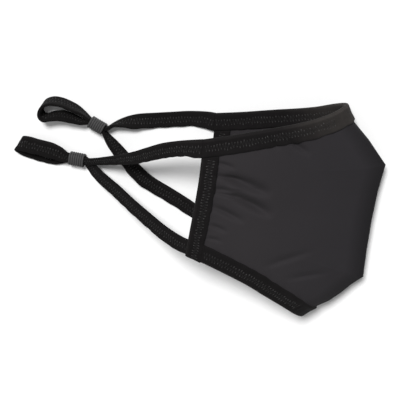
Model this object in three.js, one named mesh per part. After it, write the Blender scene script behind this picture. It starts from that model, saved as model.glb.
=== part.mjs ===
// Two-panel cloth face mask with a centre seam, elastic edge bindings and adjustable ear straps,
// lying on its left half. Millimetres: X runs from the straps to the nose tip, Y from chin edge
// to nose edge, Z up from the floor.
import * as THREE from "three";

// Cloth, elastic and rubber
const CLOTH = 1.4; // wall of one side panel
const PLY = 0.8; // one layer of the folded edge elastic
const GAP = 0.3; // air between neighbouring pieces
const FOLD = GAP + PLY; // the folded elastic stands this far off the panel and past its edge
const TOP_BAND = 10.2; // visible width of the elastic along the nose edge
const BOTTOM_BAND = 10.6;
const SIDE_BAND = 9.5;
const STRAP = 1.8; // thickness of the ear strap

// The lying body: the seam lies in a gently falling mid plane, the far half is pressed flat
const MID_REAR = 24.5; // height of the mid plane at the side edges
const MID_FALL = 0.108; // its fall per millimetre toward the nose tip
const FAR_SPREAD = 1.15; // the lower half bulges this much more before the floor stops it
const FAR_SHIFT = 4.5; // sideways slip of the lower half's side edge
const SOFTEN = 2.5; // height over which the lower half rolls off the floor
const BULGE = 0.1; // extra fullness behind the nose
const CENTRE = 1.7; // forward shift that centres the whole mask on the origin

// Outline of one half seen from the side; t runs from the chin edge (0) to the nose edge (1)
const SEAM = [
  { t: 0, x: 73.2, y: -71 },
  { t: 0.06, x: 82.1, y: -64.8 },
  { t: 0.11, x: 90.9, y: -60.4 },
  { t: 0.155, x: 98.5, y: -54.5 },
  { t: 0.19, x: 104.8, y: -48.6 },
  { t: 0.22, x: 112, y: -43.1 },
  { t: 0.35, x: 113.4, y: -23.5 },
  { t: 0.487, x: 115.5, y: -3.2 },
  { t: 0.62, x: 118.4, y: 16.5 },
  { t: 0.74, x: 122.3, y: 34.3 },
  { t: 0.845, x: 111, y: 50.1 },
  { t: 0.925, x: 101.2, y: 61.3 },
  { t: 1, x: 96.3, y: 72 },
];
const SIDE_EDGE = [
  { t: 0, x: 0.7, y: -21.8 },
  { t: 0.33, x: 5.9, y: 5 },
  { t: 0.67, x: 10.2, y: 31 },
  { t: 1, x: 12.5, y: 54.3 },
];
// d runs from the seam (0) to the side edge (1)
const NOSE_EDGE = [
  { d: 0, x: 96.3, y: 72 },
  { d: 0.1, x: 87.6, y: 68.7 },
  { d: 0.24, x: 75.6, y: 65.6 },
  { d: 0.57, x: 48.7, y: 61.2 },
  { d: 0.82, x: 28.3, y: 57.2 },
  { d: 1, x: 12.5, y: 54.3 },
];
const CHIN_EDGE = [
  { d: 0, x: 73.2, y: -71 },
  { d: 0.17, x: 61.4, y: -59.6 },
  { d: 0.34, x: 49.2, y: -49.9 },
  { d: 0.5, x: 37.6, y: -41.4 },
  { d: 0.78, x: 17, y: -29.7 },
  { d: 1, x: 0.7, y: -21.8 },
];

// Half width of the body at the side edge, and how bluntly it closes at the seam
const SECTION = [
  { t: 0, half: 21.2, blunt: 0.52 },
  { t: 0.06, half: 21.9, blunt: 0.52 },
  { t: 0.22, half: 24, blunt: 0.76 },
  { t: 0.5, half: 24.9, blunt: 0.78 },
  { t: 0.74, half: 25, blunt: 0.74 },
  { t: 0.92, half: 24.2, blunt: 0.5 },
  { t: 1, half: 23.9, blunt: 0.5 },
];

// Gathers on the upper panel, from a start to an end point, with depth and reach either side
const GATHERS = [
  { x1: 19, y1: 32, x2: 50, y2: 20, depth: 1.5, reach: 3.4 },
  { x1: 19, y1: 21.5, x2: 51, y2: 6, depth: 1.4, reach: 3.4 },
  { x1: 17, y1: 12, x2: 34, y2: 3, depth: 0.9, reach: 3.2 },
  { x1: 62, y1: 55, x2: 77, y2: 45, depth: 0.8, reach: 3 },
  { x1: 48, y1: -30.5, x2: 82, y2: -19, depth: 0.8, reach: 3.5 },
  { x1: 62, y1: -39.5, x2: 92, y2: -36.5, depth: 0.7, reach: 3 },
];

// Ear strap centre lines. turn is the compass of the width across the strap, tilt its rise
const RIGHT_STRAP = [
  { x: 10.4, y: 50.2, z: 47, turn: -98, tilt: 0, width: 10 },
  { x: 6.1, y: 49.6, z: 46.4, turn: -87, tilt: 0, width: 10 },
  { x: -3.9, y: 47.4, z: 43, turn: -78, tilt: 0, width: 10 },
  { x: -15.2, y: 44, z: 38, turn: -72, tilt: 0, width: 9.8 },
  { x: -27, y: 38.8, z: 31.5, turn: -68, tilt: 0, width: 9 },
  { x: -37.1, y: 34.1, z: 25, turn: -67, tilt: 0, width: 8.2 },
  { x: -53.1, y: 28.4, z: 15, turn: -74, tilt: 0, width: 6.4 },
  { x: -66.4, y: 24.8, z: 8.5, turn: -80, tilt: 0, width: 4.9 },
  { x: -72.6, y: 23.5, z: 6.3, turn: -90, tilt: 0, width: 4.8 },
  { x: -76.85, y: 23.15, z: 5.1, turn: -98, tilt: 0, width: 5.2 },
  { x: -78.83, y: 23.43, z: 5.05, turn: -98, tilt: 0, width: 5.4 },
  { x: -85.57, y: 24.37, z: 5.05, turn: -98, tilt: 0, width: 5.4 },
  { x: -87.55, y: 24.75, z: 5.1, turn: -98, tilt: 0, width: 6 },
  { x: -92.7, y: 27.4, z: 5.9, turn: -100, tilt: 0, width: 10 },
  { x: -98.5, y: 30, z: 6.9, turn: -101, tilt: 0, width: 11 },
  { x: -109.5, y: 32.4, z: 7, turn: -104, tilt: 0, width: 11 },
  { x: -116, y: 33.6, z: 6.6, turn: -114, tilt: 0, width: 11.6 },
  { x: -121.8, y: 33, z: 4.2, turn: -124, tilt: 0, width: 12.6 },
  { x: -118, y: 29.2, z: 1.6, turn: -118, tilt: 0, width: 12 },
  { x: -111.4, y: 26.6, z: 1.05, turn: -106, tilt: 0, width: 11 },
  { x: -100.4, y: 24.2, z: 1.05, turn: -101, tilt: 0, width: 11 },
  { x: -93.4, y: 23.8, z: 1.7, turn: -99, tilt: 0, width: 9 },
  { x: -87.55, y: 24.6, z: 2.9, turn: -98, tilt: 0, width: 5.8 },
  { x: -85.57, y: 24.37, z: 2.95, turn: -98, tilt: 0, width: 5.4 },
  { x: -78.83, y: 23.43, z: 2.95, turn: -98, tilt: 0, width: 5.4 },
  { x: -76.85, y: 23.1, z: 2.95, turn: -98, tilt: 0, width: 5.4 },
  { x: -71.7, y: 18.9, z: 4.6, turn: -124, tilt: -14, width: 7.6 },
  { x: -65.6, y: 14.2, z: 8, turn: -124, tilt: -18, width: 9.2 },
  { x: -52.9, y: 7.3, z: 15, turn: -119, tilt: -18, width: 10 },
  { x: -40.4, y: 0.2, z: 22.5, turn: -119, tilt: -16, width: 10 },
  { x: -28.2, y: -6.2, z: 29.5, turn: -118, tilt: -12, width: 10 },
  { x: -16.1, y: -12.1, z: 36.5, turn: -115, tilt: -6, width: 10 },
  { x: -5.4, y: -15.9, z: 42, turn: -106, tilt: 0, width: 10 },
  { x: -0.3, y: -17, z: 44.3, turn: -101, tilt: 0, width: 10 },
];
const LEFT_STRAP = [
  { x: 10.5, y: 54.9, z: 0.95, turn: -98, tilt: 0, width: 10 },
  { x: 6, y: 55.4, z: 0.93, turn: -90, tilt: 0, width: 10 },
  { x: -6, y: 55.2, z: 0.93, turn: -87, tilt: 0, width: 10 },
  { x: -18, y: 54, z: 1, turn: -85, tilt: 0, width: 10 },
  { x: -30, y: 52.8, z: 1.12, turn: -85, tilt: 0, width: 10 },
  { x: -40, y: 52.1, z: 3, turn: -86, tilt: 24, width: 10 },
  { x: -49, y: 51.4, z: 4.6, turn: -82, tilt: 62, width: 9.2 },
  { x: -55.5, y: 49.8, z: 4.6, turn: -74, tilt: 86, width: 7.4 },
  { x: -60, y: 47, z: 4.4, turn: -80, tilt: 90, width: 5.8 },
  { x: -62.25, y: 46.75, z: 4.4, turn: -118, tilt: 90, width: 5.4 },
  { x: -64, y: 47.71, z: 4.4, turn: -118, tilt: 90, width: 5.4 },
  { x: -69.97, y: 50.97, z: 4.4, turn: -118, tilt: 90, width: 5.4 },
  { x: -71.73, y: 51.92, z: 4.4, turn: -118, tilt: 90, width: 5.4 },
  { x: -76, y: 55.7, z: 4.7, turn: -118, tilt: 90, width: 8.6 },
  { x: -81.3, y: 59.3, z: 5.3, turn: -90, tilt: 80, width: 10.5 },
  { x: -86.6, y: 61.7, z: 5.35, turn: -90, tilt: 76, width: 10.5 },
  { x: -92, y: 63.4, z: 5.34, turn: -90, tilt: 74, width: 10.5 },
  { x: -97.5, y: 63.8, z: 5.34, turn: -90, tilt: 74, width: 10.5 },
  { x: -102.4, y: 62, z: 5.35, turn: -90, tilt: 76, width: 10.5 },
  { x: -105, y: 58.6, z: 5.3, turn: -90, tilt: 80, width: 10.5 },
  { x: -105.6, y: 54.8, z: 5.3, turn: -90, tilt: 80, width: 10.5 },
  { x: -103.4, y: 52.4, z: 5.35, turn: -90, tilt: 76, width: 10.5 },
  { x: -98, y: 53.4, z: 5.34, turn: -90, tilt: 70, width: 10.5 },
  { x: -91.5, y: 54.2, z: 5.3, turn: -90, tilt: 66, width: 10.5 },
  { x: -84.5, y: 52.7, z: 5.15, turn: -90, tilt: 70, width: 10 },
  { x: -77.8, y: 50.5, z: 4.7, turn: -90, tilt: 80, width: 8 },
  { x: -72.75, y: 50.05, z: 4.4, turn: -118, tilt: 90, width: 5.4 },
  { x: -71, y: 49.09, z: 4.4, turn: -118, tilt: 90, width: 5.4 },
  { x: -65.03, y: 45.83, z: 4.4, turn: -118, tilt: 90, width: 5.4 },
  { x: -63.27, y: 44.88, z: 4.4, turn: -118, tilt: 90, width: 5.6 },
  { x: -60.9, y: 41, z: 4.5, turn: -120, tilt: 80, width: 7.8 },
  { x: -57.5, y: 36.6, z: 4.55, turn: -124, tilt: 64, width: 9 },
  { x: -53.8, y: 32, z: 4.45, turn: -132, tilt: 54, width: 9.4 },
  { x: -49.3, y: 26.6, z: 4.35, turn: -135, tilt: 50, width: 9.6 },
  { x: -44.7, y: 21.3, z: 4.15, turn: -136, tilt: 44, width: 9.8 },
  { x: -41, y: 16.6, z: 3.5, turn: -134, tilt: 32, width: 10 },
  { x: -37.2, y: 12.4, z: 2.2, turn: -129, tilt: 14, width: 10 },
  { x: -32, y: 8.4, z: 1.3, turn: -122, tilt: 2, width: 10 },
  { x: -20, y: 1.6, z: 1, turn: -119, tilt: 0, width: 10 },
  { x: -8, y: -5.6, z: 0.93, turn: -116, tilt: 0, width: 10 },
  { x: -0.8, y: -10.2, z: 0.95, turn: -104, tilt: 0, width: 10 },
];

// Ribbed rubber slider
const SLIDER = { length: 10.4, width: 9, height: 8, slotWidth: 6.5, slotHeight: 5 };
const RIBS = 7;
const RIB_DEPTH = 0.4;
const RIGHT_SLIDER = { x: -82.2, y: 23.9, z: 4.02, heading: 172, roll: 0 };
const LEFT_SLIDER = { x: -67.5, y: 48.4, z: 4.52, heading: 151.4, roll: 90 };

// Mesh fineness
const SEAM_TO_SIDE = 22; // panel columns
const ROWS = [0, 0.02, 0.04, 0.06, 0.085, 0.11, 0.155, 0.19, 0.22, 0.28, 0.35, 0.42, 0.487, 0.55,
  0.62, 0.68, 0.74, 0.79, 0.845, 0.885, 0.925, 0.95, 0.975, 1];
const BINDING_STEPS = 54;
const SIDE_STEPS = 16;
const STEPS_PER_ROW = 2.4;

const COLOURS = { cloth: 0x302e30, elastic: 0x1e1d1e, strap: 0x1c1b1b, rubber: 0x4c4c4e };

function span(table, key, at) {
  let i = 0;
  while (i < table.length - 2 && at > table[i + 1][key]) i += 1;
  return i;
}

function straight(table, key, at, column) {
  const i = span(table, key, at);
  const a = table[i];
  const b = table[i + 1];
  return a[column] + ((b[column] - a[column]) * (at - a[key])) / (b[key] - a[key]);
}

function slope(table, key, i, column) {
  const a = table[Math.max(i - 1, 0)];
  const b = table[Math.min(i + 1, table.length - 1)];
  return (b[column] - a[column]) / (b[key] - a[key]);
}

function smooth(table, key, at, column) {
  const i = span(table, key, at);
  const a = table[i];
  const b = table[i + 1];
  const run = b[key] - a[key];
  const k = (at - a[key]) / run;
  const rise = (b[column] - a[column]) / run;
  if (k < 0) return a[column] + k * run * slope(table, key, i, column);
  if (k > 1) return b[column] + (k - 1) * run * slope(table, key, i + 1, column);
  const m0 = slope(table, key, i, column) - rise;
  const m1 = rise - slope(table, key, i + 1, column);
  return a[column] + run * k * (rise + (1 - k) * (m0 * (1 - k) + m1 * k));
}

// Point of the flat side outline at d (seam to side edge) and t (chin to nose edge)
function outline(d, t) {
  const mix = (column) => {
    const seam = straight(SEAM, "t", t, column);
    const side = smooth(SIDE_EDGE, "t", t, column);
    const low = smooth(CHIN_EDGE, "d", d, column);
    const high = smooth(NOSE_EDGE, "d", d, column);
    const lowLine = SEAM[0][column] * (1 - d) + SIDE_EDGE[0][column] * d;
    const highLine = NOSE_EDGE[0][column] * (1 - d) + SIDE_EDGE[3][column] * d;
    return (1 - d) * seam + d * side + (1 - t) * (low - lowLine) + t * (high - highLine);
  };
  return [mix("x"), mix("y")];
}

function midHeight(x) {
  return MID_REAR - MID_FALL * (x - 5);
}

function halfWidth(u, t) {
  const half = smooth(SECTION, "t", t, "half");
  const blunt = straight(SECTION, "t", t, "blunt");
  const full = 1 + BULGE * t * Math.sin(Math.PI * Math.min(u * u, 1));
  return half * full * Math.sin((Math.PI / 2) * u ** (2 * blunt));
}

// Height of a surface pressed down on the floor: flat below it, rolling off it above
function settle(z) {
  const above = z - FOLD;
  if (above > SOFTEN) return z;
  if (above < -SOFTEN) return FOLD;
  return FOLD + (above + SOFTEN) ** 2 / (4 * SOFTEN);
}

function gatherDepth(x, y) {
  let sum = 0;
  for (const g of GATHERS) {
    const dx = g.x2 - g.x1;
    const dy = g.y2 - g.y1;
    const length = Math.hypot(dx, dy);
    const k = ((x - g.x1) * dx + (y - g.y1) * dy) / length ** 2;
    if (k <= 0 || k >= 1) continue;
    const off = ((x - g.x1) * dy - (y - g.y1) * dx) / length / g.reach;
    sum += g.depth * Math.sin(Math.PI * k ** 0.6) ** 2 * Math.exp(-off * off);
  }
  return sum;
}

// Outer face of the cloth; u is -1 at the far side edge, 0 at the seam, 1 at the near side edge
function outer(u, t) {
  const [x, y] = outline(u * u, t);
  const spread = halfWidth(Math.abs(u), t);
  if (u >= 0) return new THREE.Vector3(x, y, midHeight(x) + spread - gatherDepth(x, y));
  return new THREE.Vector3(x, y + FAR_SHIFT * u ** 4, settle(midHeight(x) - FAR_SPREAD * spread));
}

// Point at a height above (+) or below (-) the outer face of the cloth
function cloth(u, t, height) {
  const e = 0.0008;
  const along = outer(u + e, t).sub(outer(u - e, t));
  const up = outer(u, t + e).sub(outer(u, t - e));
  const normal = up.cross(along).normalize();
  return outer(u, t).addScaledVector(normal, height);
}

// Share of t (or of d) that makes one millimetre square to the edge
function perMillimetre(d, t, of) {
  const e = 0.001;
  const [x0, y0] = outline(d - e, t);
  const [x1, y1] = outline(d + e, t);
  const [x2, y2] = outline(d, t - e);
  const [x3, y3] = outline(d, t + e);
  const area = Math.abs((x1 - x0) * (y3 - y2) - (y1 - y0) * (x3 - x2)) / (2 * e);
  const edge = of === "t" ? Math.hypot(x1 - x0, y1 - y0) : Math.hypot(x3 - x2, y3 - y2);
  return edge / area;
}

// Closed body from a row of rings; each ring's point i faces its point (last - i)
function solid(rings, looped = false) {
  const count = rings[0].length;
  const points = rings.flat();
  const faces = [];
  const quad = (a, b, c, d) => faces.push(a, b, c, a, c, d);
  const last = looped ? rings.length : rings.length - 1;
  for (let i = 0; i < last; i += 1) {
    const a = i * count;
    const b = ((i + 1) % rings.length) * count;
    for (let j = 0; j < count; j += 1) {
      const k = (j + 1) % count;
      quad(a + j, a + k, b + k, b + j);
    }
  }
  if (!looped) {
    const end = (rings.length - 1) * count;
    for (let j = 0; j < count / 2 - 1; j += 1) {
      quad(j, count - 1 - j, count - 2 - j, j + 1);
      quad(end + j, end + j + 1, end + count - 2 - j, end + count - 1 - j);
    }
  }
  return closed(points, faces);
}

function closed(points, faces) {
  let volume = 0;
  for (let i = 0; i < faces.length; i += 3) {
    const [a, b, c] = [points[faces[i]], points[faces[i + 1]], points[faces[i + 2]]];
    volume += a.dot(b.clone().cross(c));
  }
  const ordered = volume > 0 ? faces : faces.slice().reverse();
  const geometry = new THREE.BufferGeometry();
  const flat = points.flatMap((p) => [p.x, p.y, p.z]);
  geometry.setAttribute("position", new THREE.Float32BufferAttribute(flat, 3));
  geometry.setIndex(ordered);
  geometry.computeVertexNormals();
  return geometry;
}

// One side panel: outer and inner face, kept clear of the other panel along the seam
function panel(side) {
  const rings = [];
  for (let i = 0; i <= SEAM_TO_SIDE; i += 1) {
    const u = (side * i) / SEAM_TO_SIDE;
    const place = (t, height) => {
      const p = cloth(side > 0 ? Math.max(u, 0) : Math.min(u, -1e-9), t, height);
      const seam = midHeight(p.x) + (side * GAP) / 2;
      p.z = side > 0 ? Math.max(p.z, seam) : Math.min(p.z, seam);
      return p;
    };
    const skin = ROWS.map((t) => place(t, 0));
    const lining = ROWS.map((t) => place(t, -CLOTH)).reverse();
    rings.push([...skin, ...lining]);
  }
  return solid(rings);
}

// Folded elastic in section: w is measured in from the cloth edge, h off its outer face
function foldedSection(width) {
  const inside = -CLOTH - GAP;
  const skin = [
    [width, FOLD], [width / 2, FOLD], [-0.1, FOLD], [-0.8, FOLD - 0.35],
    [-FOLD, -CLOTH / 2], [-0.8, inside - PLY + 0.35], [-0.1, inside - PLY],
    [width / 2, inside - PLY], [width, inside - PLY],
  ];
  const lining = [
    [width, inside], [width / 2, inside], [-0.1, inside], [-GAP, inside + 0.2],
    [-GAP, -CLOTH / 2], [-GAP, GAP - 0.2], [-0.1, GAP], [width / 2, GAP], [width, GAP],
  ];
  return [...skin, ...lining];
}

function topBinding() {
  const section = foldedSection(TOP_BAND);
  const rings = [];
  for (let i = -BINDING_STEPS; i <= BINDING_STEPS; i += 2) {
    const u = i / BINDING_STEPS;
    rings.push(section.map(([w, h]) => {
      const t = 1 - w * perMillimetre(u * u, 1, "t");
      const reach = 1 + FOLD * perMillimetre(1, t, "d");
      return cloth(u * Math.sqrt(reach), t, h);
    }));
  }
  return solid(rings);
}

function bottomBinding() {
  const section = foldedSection(BOTTOM_BAND);
  const rings = [];
  for (let i = -BINDING_STEPS; i <= BINDING_STEPS; i += 2) {
    const u = i / BINDING_STEPS;
    rings.push(section.map(([w, h]) => {
      const t = w * perMillimetre(u * u, 0, "t");
      const reach = 1 - (SIDE_BAND + GAP) * perMillimetre(1, t, "d");
      return cloth(u * Math.sqrt(reach), t, h);
    }));
  }
  return solid(rings);
}

function sideBinding(side) {
  const section = foldedSection(SIDE_BAND);
  const rings = [];
  for (let i = 0; i <= SIDE_STEPS; i += 1) {
    const k = i / SIDE_STEPS;
    rings.push(section.map(([w, h]) => {
      const d = 1 - w * perMillimetre(1, k * 0.86, "d");
      const low = -FOLD * perMillimetre(d, 0, "t");
      const high = 1 - (TOP_BAND + GAP) * perMillimetre(d, 1, "t");
      return cloth(side * Math.sqrt(d), low + (high - low) * k, h);
    }));
  }
  return solid(rings);
}

function direction(turn, tilt) {
  const a = THREE.MathUtils.degToRad(turn);
  const b = THREE.MathUtils.degToRad(tilt);
  return new THREE.Vector3(Math.cos(b) * Math.cos(a), Math.cos(b) * Math.sin(a), Math.sin(b));
}

// Flat elastic swept along its table, four corners to a section
function strap(rows) {
  const path = new THREE.CatmullRomCurve3(rows.map((r) => new THREE.Vector3(r.x, r.y, r.z)));
  const count = Math.round((rows.length - 1) * STEPS_PER_ROW);
  const rings = [];
  for (let i = 0; i <= count; i += 1) {
    const at = (i / count) * (rows.length - 1);
    const j = Math.min(Math.floor(at), rows.length - 2);
    const mix = (column) => THREE.MathUtils.lerp(rows[j][column], rows[j + 1][column], at - j);
    const across = direction(mix("turn"), mix("tilt"));
    const centre = path.getPoint(i / count);
    const face = path.getTangent(i / count).cross(across).normalize();
    const corner = (a, b) => centre.clone()
      .addScaledVector(across, (a * mix("width")) / 2)
      .addScaledVector(face, (b * STRAP) / 2);
    rings.push([corner(-1, 1), corner(1, 1), corner(1, -1), corner(-1, -1)]);
  }
  return solid(rings);
}

// Rounded oblong ring of points about the origin, in the plane across the slider
function oblong(x, width, height, power) {
  const points = [];
  const count = 20;
  for (let i = 0; i < count; i += 1) {
    const a = (2 * Math.PI * (i + 0.5)) / count;
    const c = Math.cos(a);
    const s = Math.sin(a);
    const y = (Math.sign(c) * Math.abs(c) ** power * width) / 2;
    const z = (Math.sign(s) * Math.abs(s) ** power * height) / 2;
    points.push(new THREE.Vector3(x, y, z));
  }
  return points;
}

function slider(place) {
  const rings = [];
  const steps = RIBS * 2;
  for (let i = 0; i <= steps; i += 1) {
    const x = (i / steps - 0.5) * SLIDER.length;
    const drop = i % 2 === 0 ? 2 * RIB_DEPTH : 0;
    rings.push(oblong(x, SLIDER.width - drop, SLIDER.height - drop, 0.7));
  }
  rings.push(oblong(SLIDER.length / 2, SLIDER.slotWidth, SLIDER.slotHeight, 0.16));
  rings.push(oblong(-SLIDER.length / 2, SLIDER.slotWidth, SLIDER.slotHeight, 0.16));
  const turned = new THREE.Matrix4()
    .makeTranslation(place.x, place.y, place.z)
    .multiply(new THREE.Matrix4().makeRotationZ(THREE.MathUtils.degToRad(place.heading)))
    .multiply(new THREE.Matrix4().makeRotationX(THREE.MathUtils.degToRad(place.roll)));
  return solid(rings.map((ring) => ring.map((p) => p.applyMatrix4(turned))), true);
}

function piece(name, geometry, color, roughness) {
  geometry.translate(CENTRE, 0, 0);
  const material = new THREE.MeshStandardMaterial({ color, roughness, metalness: 0 });
  const mesh = new THREE.Mesh(geometry, material);
  mesh.name = name;
  return mesh;
}

const mask = new THREE.Group();
mask.name = "face_mask";
mask.add(piece("right_panel", panel(1), COLOURS.cloth, 0.85));
mask.add(piece("left_panel", panel(-1), COLOURS.cloth, 0.85));
mask.add(piece("top_binding", topBinding(), COLOURS.elastic, 0.8));
mask.add(piece("bottom_binding", bottomBinding(), COLOURS.elastic, 0.8));
mask.add(piece("side_binding_right", sideBinding(1), COLOURS.elastic, 0.8));
mask.add(piece("side_binding_left", sideBinding(-1), COLOURS.elastic, 0.8));
mask.add(piece("ear_strap_right", strap(RIGHT_STRAP), COLOURS.strap, 0.8));
mask.add(piece("ear_strap_left", strap(LEFT_STRAP), COLOURS.strap, 0.8));
mask.add(piece("slider_right", slider(RIGHT_SLIDER), COLOURS.rubber, 0.5));
mask.add(piece("slider_left", slider(LEFT_SLIDER), COLOURS.rubber, 0.5));

export default mask;
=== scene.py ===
"""Builds the finished look of a cloth face mask that lies on its left half.

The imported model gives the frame. Cloth, elastic, stitching and rubber are made here around it,
from the same tables of sizes as the part's own source, in millimetres before CENTRE is added.
"""

import math

import bpy
import numpy as np
from mathutils import Matrix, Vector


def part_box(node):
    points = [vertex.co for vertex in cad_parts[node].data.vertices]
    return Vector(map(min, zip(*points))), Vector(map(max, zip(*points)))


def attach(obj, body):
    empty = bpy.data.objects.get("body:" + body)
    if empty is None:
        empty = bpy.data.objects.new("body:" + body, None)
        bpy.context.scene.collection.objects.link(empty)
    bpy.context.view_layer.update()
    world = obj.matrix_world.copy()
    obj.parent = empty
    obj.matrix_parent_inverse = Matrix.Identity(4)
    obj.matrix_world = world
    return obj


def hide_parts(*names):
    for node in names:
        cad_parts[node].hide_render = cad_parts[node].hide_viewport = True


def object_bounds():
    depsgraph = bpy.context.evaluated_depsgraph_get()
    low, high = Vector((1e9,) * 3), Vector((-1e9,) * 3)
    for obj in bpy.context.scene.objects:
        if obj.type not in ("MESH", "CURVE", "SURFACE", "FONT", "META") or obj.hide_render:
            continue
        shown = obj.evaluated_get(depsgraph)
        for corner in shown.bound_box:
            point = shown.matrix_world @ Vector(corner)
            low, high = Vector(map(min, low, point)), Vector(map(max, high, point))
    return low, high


bl_info = {
    "name": "Cloth face mask",
    "version": (1, 0, 0),
    "blender": (4, 5, 0),
    "location": "3D View > Sidebar > Face mask",
    "description": "Builds the cloth, elastic, stitching and sliders of a lying face mask",
    "category": "Add Mesh",
}

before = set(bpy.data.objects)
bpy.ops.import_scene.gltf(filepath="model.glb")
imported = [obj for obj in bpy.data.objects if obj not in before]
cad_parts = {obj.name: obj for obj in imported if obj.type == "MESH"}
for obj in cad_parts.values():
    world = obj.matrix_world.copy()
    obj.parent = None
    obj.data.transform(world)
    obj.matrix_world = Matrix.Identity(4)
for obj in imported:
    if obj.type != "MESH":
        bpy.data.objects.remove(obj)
PACKED_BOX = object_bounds()
BODY = "root"
MM = 0.001


def columns(names, *rows):
    """A short table as one array for each named column."""
    return dict(zip(names.split(), np.array(rows, float).T))


# ---------------------------------------------------------------- sizes of the part, in mm
CLOTH = 1.4  # wall of a side panel
PLY = 0.8  # one layer of the folded edge elastic
GAP = 0.3
FOLD = GAP + PLY
TOP_BAND = 10.2
BOTTOM_BAND = 10.6
SIDE_BAND = 9.5
STRAP = 1.8
STRAP_WIDTH = 10.0

MID_REAR = 24.5
MID_FALL = 0.108
FAR_SPREAD = 1.15
FAR_SHIFT = 4.5
SOFTEN = 2.5
BULGE = 0.1

SEAM = columns(
    "t x y",
    (0, 73.2, -71), (0.06, 82.1, -64.8), (0.11, 90.9, -60.4), (0.155, 98.5, -54.5),
    (0.19, 104.8, -48.6), (0.22, 112, -43.1), (0.35, 113.4, -23.5), (0.487, 115.5, -3.2),
    (0.62, 118.4, 16.5), (0.74, 122.3, 34.3), (0.845, 111, 50.1), (0.925, 101.2, 61.3),
    (1, 96.3, 72),
)
SIDE_EDGE = columns("t x y", (0, 0.7, -21.8), (0.33, 5.9, 5), (0.67, 10.2, 31), (1, 12.5, 54.3))
NOSE_EDGE = columns(
    "d x y",
    (0, 96.3, 72), (0.1, 87.6, 68.7), (0.24, 75.6, 65.6), (0.57, 48.7, 61.2),
    (0.82, 28.3, 57.2), (1, 12.5, 54.3),
)
CHIN_EDGE = columns(
    "d x y",
    (0, 73.2, -71), (0.17, 61.4, -59.6), (0.34, 49.2, -49.9), (0.5, 37.6, -41.4),
    (0.78, 17, -29.7), (1, 0.7, -21.8),
)
SECTION = columns(
    "t half blunt",
    (0, 21.2, 0.52), (0.06, 21.9, 0.52), (0.22, 24, 0.76), (0.5, 24.9, 0.78),
    (0.74, 25, 0.74), (0.92, 24.2, 0.5), (1, 23.9, 0.5),
)
GATHERS = columns(
    "x1 y1 x2 y2 depth reach",
    (17, 33, 37, 28, 2.3, 2.2), (24, 31.5, 54, 19.5, 5, 4.2), (26, 25.5, 48, 24, -1.3, 2.4),
    (17, 24, 31, 22, 1.7, 2), (17, 22, 36, 17, 2, 2.1), (28, 20, 55, 5, 4.8, 4),
    (15.5, 13, 38, 1, 2.6, 2.7), (18, 41.5, 32, 37, 1.7, 1.9), (14, 0.5, 27, -5.5, 1.6, 2),
    (61, 56.5, 77, 44.5, 2.1, 2.4), (50, 58, 58, 50, 1.3, 2.2), (48, -30.5, 82, -19, 1.5, 3),
    (62, -39.5, 92, -36.5, 1.4, 2.8), (12, -9, 24, -12, 1.1, 1.9),
)
STEEP = 1.7  # a fold's chin side is this much steeper than its nose side
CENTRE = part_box("right_panel")[1].x / MM - SEAM["x"].max()

# Ear straps: centre line, compass and rise of the width direction, and width
RIGHT_STRAP = columns(
    "x y z turn tilt width",
    (10.4, 50.2, 47, -98, 0, 10), (6.1, 49.6, 46.4, -87, 0, 10), (-3.9, 47.4, 43, -78, 0, 10),
    (-15.2, 44, 38, -72, 0, 9.8), (-27, 38.8, 31.5, -68, 0, 9), (-37.1, 34.1, 25, -67, 0, 8.2),
    (-53.1, 28.4, 15, -74, 0, 6.4), (-66.4, 24.8, 8.5, -80, 0, 4.9),
    (-72.6, 23.5, 6.3, -90, 0, 4.8), (-76.85, 23.15, 5.1, -98, 0, 5.2),
    (-78.83, 23.43, 5.05, -98, 0, 5.4), (-85.57, 24.37, 5.05, -98, 0, 5.4),
    (-87.55, 24.75, 5.1, -98, 0, 6), (-92.7, 27.4, 5.9, -100, 0, 10),
    (-98.5, 30, 6.9, -101, 0, 11), (-109.5, 32.4, 7, -104, 0, 11),
    (-116, 33.6, 6.6, -114, 0, 11.6), (-121.8, 33, 4.2, -124, 0, 12.6),
    (-118, 29.2, 1.6, -118, 0, 12), (-111.4, 26.6, 1.05, -106, 0, 11),
    (-100.4, 24.2, 1.05, -101, 0, 11), (-93.4, 23.8, 1.7, -99, 0, 9),
    (-87.55, 24.6, 2.9, -98, 0, 5.8), (-85.57, 24.37, 2.95, -98, 0, 5.4),
    (-78.83, 23.43, 2.95, -98, 0, 5.4), (-76.85, 23.1, 2.95, -98, 0, 5.4),
    (-71.7, 18.9, 4.6, -124, -14, 7.6), (-65.6, 14.2, 8, -124, -18, 9.2),
    (-52.9, 7.3, 15, -119, -18, 10), (-40.4, 0.2, 22.5, -119, -16, 10),
    (-28.2, -6.2, 29.5, -118, -12, 10), (-16.1, -12.1, 36.5, -115, -6, 10),
    (-5.4, -15.9, 42, -106, 0, 10), (-0.3, -17, 44.3, -101, 0, 10),
)
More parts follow.
